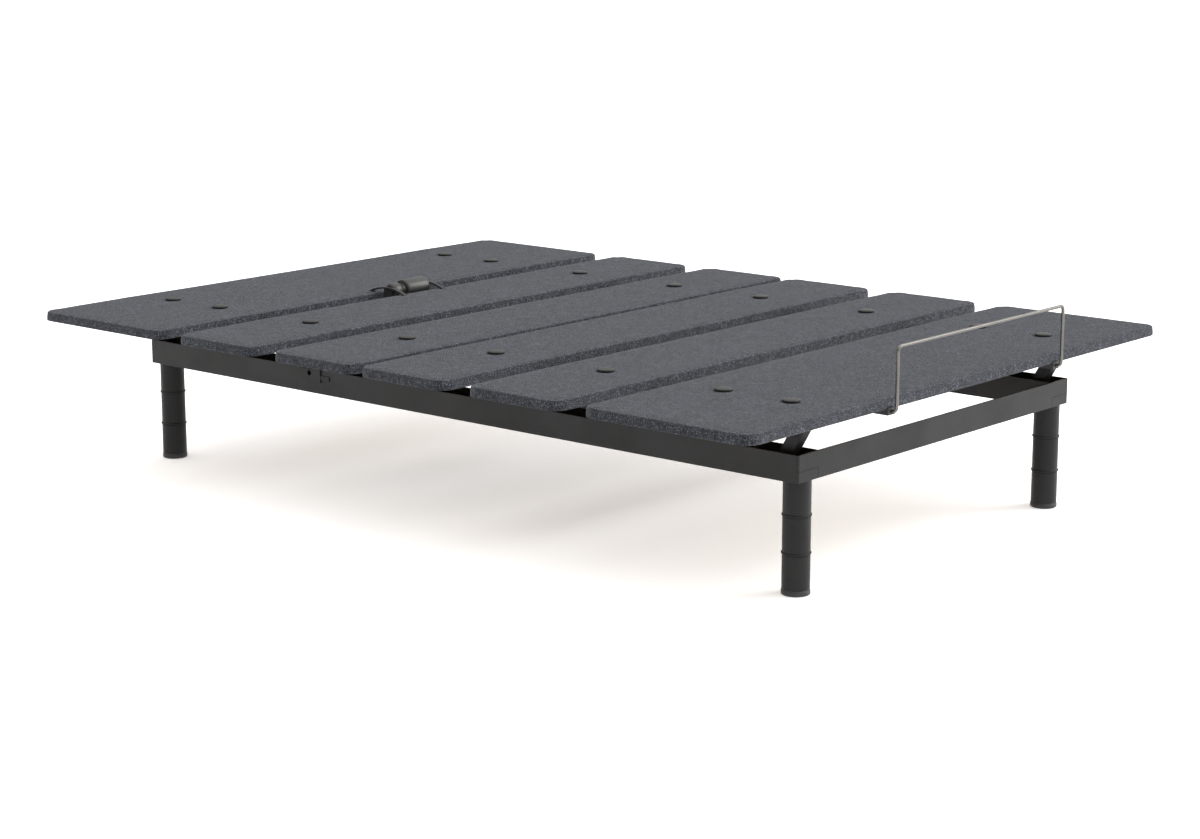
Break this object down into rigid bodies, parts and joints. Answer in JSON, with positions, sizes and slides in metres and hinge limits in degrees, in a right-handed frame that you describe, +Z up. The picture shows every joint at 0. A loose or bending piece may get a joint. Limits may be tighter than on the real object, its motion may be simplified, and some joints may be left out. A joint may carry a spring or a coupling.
{
  "type": "adjustable bed base",
  "caption": "Adjustable bed base: padded panels on a hinged tube frame that raises the back and the knees, a wire mattress retainer, and a channel-rail frame on round stacked legs.",
  "frame": {"origin": "on the floor, under the middle of the box around the bed", "axes": "+X across the bed, +Y towards the head end, +Z up; the retainer bar stands at the -Y end"},
  "size_m": [1.5, 2.06, 0.484],
  "materials": {
    "frame_steel": "satin dark grey powder coat",
    "deck_steel": "satin black powder coat",
    "zinc_steel": "zinc plated",
    "bar_steel": "satin nickel",
    "rod_chrome": "polished",
    "tube_aluminium": "satin anodised",
    "fabric": "heathered blue-grey woven polyester",
    "plywood": "raw plywood",
    "black_plastic": "fine texture",
    "roller_nylon": "smooth",
    "rubber": "matt",
    "button_plastic": "satin dark brown-grey",
    "motor_plastic": "satin grey"
  },
  "bodies": {
    "base": {"side_rail_left": "frame_steel", "side_rail_right": "frame_steel", "end_rail_head": "frame_steel", "end_rail_foot": "frame_steel", "side_plates": "frame_steel", "cross_member_head": "deck_steel", "cross_member_foot": "deck_steel", "leg_mount_plates": "zinc_steel", "leg_head_left": "frame_steel", "leg_head_right": "frame_steel", "leg_foot_left": "frame_steel", "leg_foot_right": "frame_steel", "leg_glides": "black_plastic", "rest_blocks": "rubber", "control_box": "black_plastic", "seat_tube_left": "deck_steel", "seat_tube_right": "deck_steel", "pivot_pins": "zinc_steel", "seat_board": "plywood", "seat_cover": "fabric", "seat_buttons": "button_plastic"},
    "back": {"back_tube_left": "deck_steel", "back_tube_right": "deck_steel", "back_cross_tube": "deck_steel", "back_lever_tube": "deck_steel", "head_board": "plywood", "head_cover": "fabric", "back_board": "plywood", "back_cover": "fabric", "back_buttons": "button_plastic", "motor_housing": "motor_plastic", "motor_collar": "motor_plastic", "motor_straps": "motor_plastic"},
    "eccentric_weight": {"motor_weight": "zinc_steel"},
    "thigh": {"thigh_tube_left": "deck_steel", "thigh_tube_right": "deck_steel", "thigh_lever_tube": "deck_steel", "thigh_board": "plywood", "thigh_cover": "fabric", "thigh_buttons": "button_plastic", "knee_pins": "zinc_steel"},
    "calf": {"calf_tube_left": "deck_steel", "calf_tube_right": "deck_steel", "calf_cross_tubes": "deck_steel", "calf_board": "plywood", "calf_cover": "fabric", "foot_board": "plywood", "foot_cover": "fabric", "foot_buttons": "button_plastic", "roller_axles": "zinc_steel", "retainer_brackets": "black_plastic"},
    "left_roller": {"roller_left": "roller_nylon"},
    "right_roller": {"roller_right": "roller_nylon"},
    "retainer": {"retainer_bar": "bar_steel"},
    "head_actuator": {"head_actuator_gearbox": "black_plastic", "head_actuator_tube": "tube_aluminium"},
    "head_rod": {"head_actuator_rod": "rod_chrome"},
    "foot_actuator": {"foot_actuator_gearbox": "black_plastic", "foot_actuator_tube": "tube_aluminium"},
    "foot_rod": {"foot_actuator_rod": "rod_chrome"}
  },
  "joints": [
    {"name": "back_hinge", "type": "hinge", "parent": "base", "child": "back", "pos_m": [0, 0.2915, 0.3365], "axis": [1, 0, 0], "range_deg": [0, 60]},
    {"name": "thigh_hinge", "type": "hinge", "parent": "base", "child": "thigh", "pos_m": [0, 0.01, 0.356], "axis": [-1, 0, 0], "range_deg": [0, 34]},
    {"name": "knee_hinge", "type": "hinge", "parent": "thigh", "child": "calf", "pos_m": [0, -0.2715, 0.3365], "axis": [1, 0, 0], "range_deg": [0, 50]},
    {"name": "left_roller_spin", "type": "hinge", "parent": "calf", "child": "left_roller", "pos_m": [-0.4815, -0.87, 0.253], "axis": [1, 0, 0], "continuous": true},
    {"name": "right_roller_spin", "type": "hinge", "parent": "calf", "child": "right_roller", "pos_m": [0.4815, -0.87, 0.253], "axis": [1, 0, 0], "continuous": true},
    {"name": "head_actuator_tilt", "type": "hinge", "parent": "base", "child": "head_actuator", "pos_m": [0.07, -0.21, 0.255], "axis": [1, 0, 0], "range_deg": [-1.3, 0.1]},
    {"name": "head_rod_slide", "type": "slide", "parent": "head_actuator", "child": "head_rod", "axis": [0, 0.9999, 0.0157], "range_m": [0, 0.092]},
    {"name": "foot_actuator_tilt", "type": "hinge", "parent": "base", "child": "foot_actuator", "pos_m": [-0.07, 0.371, 0.255], "axis": [1, 0, 0], "range_deg": [-0.1, 0.9]},
    {"name": "foot_rod_slide", "type": "slide", "parent": "foot_actuator", "child": "foot_rod", "axis": [0, -0.9999, 0.0135], "range_m": [0, 0.062]},
    {"name": "retainer_slide", "type": "slide", "parent": "calf", "child": "retainer", "axis": [0, -1, 0], "range_m": [0, 0.035]},
    {"name": "motor_spin", "type": "hinge", "parent": "back", "child": "eccentric_weight", "pos_m": [0, 0.5935, 0.381], "axis": [1, 0, 0], "continuous": true}
  ],
  "couplings": [
    {"joint": "knee_hinge", "follows": "thigh_hinge", "ratio": 1.4676},
    {"joint": "head_actuator_tilt", "follows": "back_hinge", "ratio": -0.01995},
    {"joint": "head_rod_slide", "follows": "back_hinge", "m_per_rad": 0.08659},
    {"joint": "foot_actuator_tilt", "follows": "thigh_hinge", "ratio": 0.02219},
    {"joint": "foot_rod_slide", "follows": "thigh_hinge", "m_per_rad": 0.10119}
  ]
}
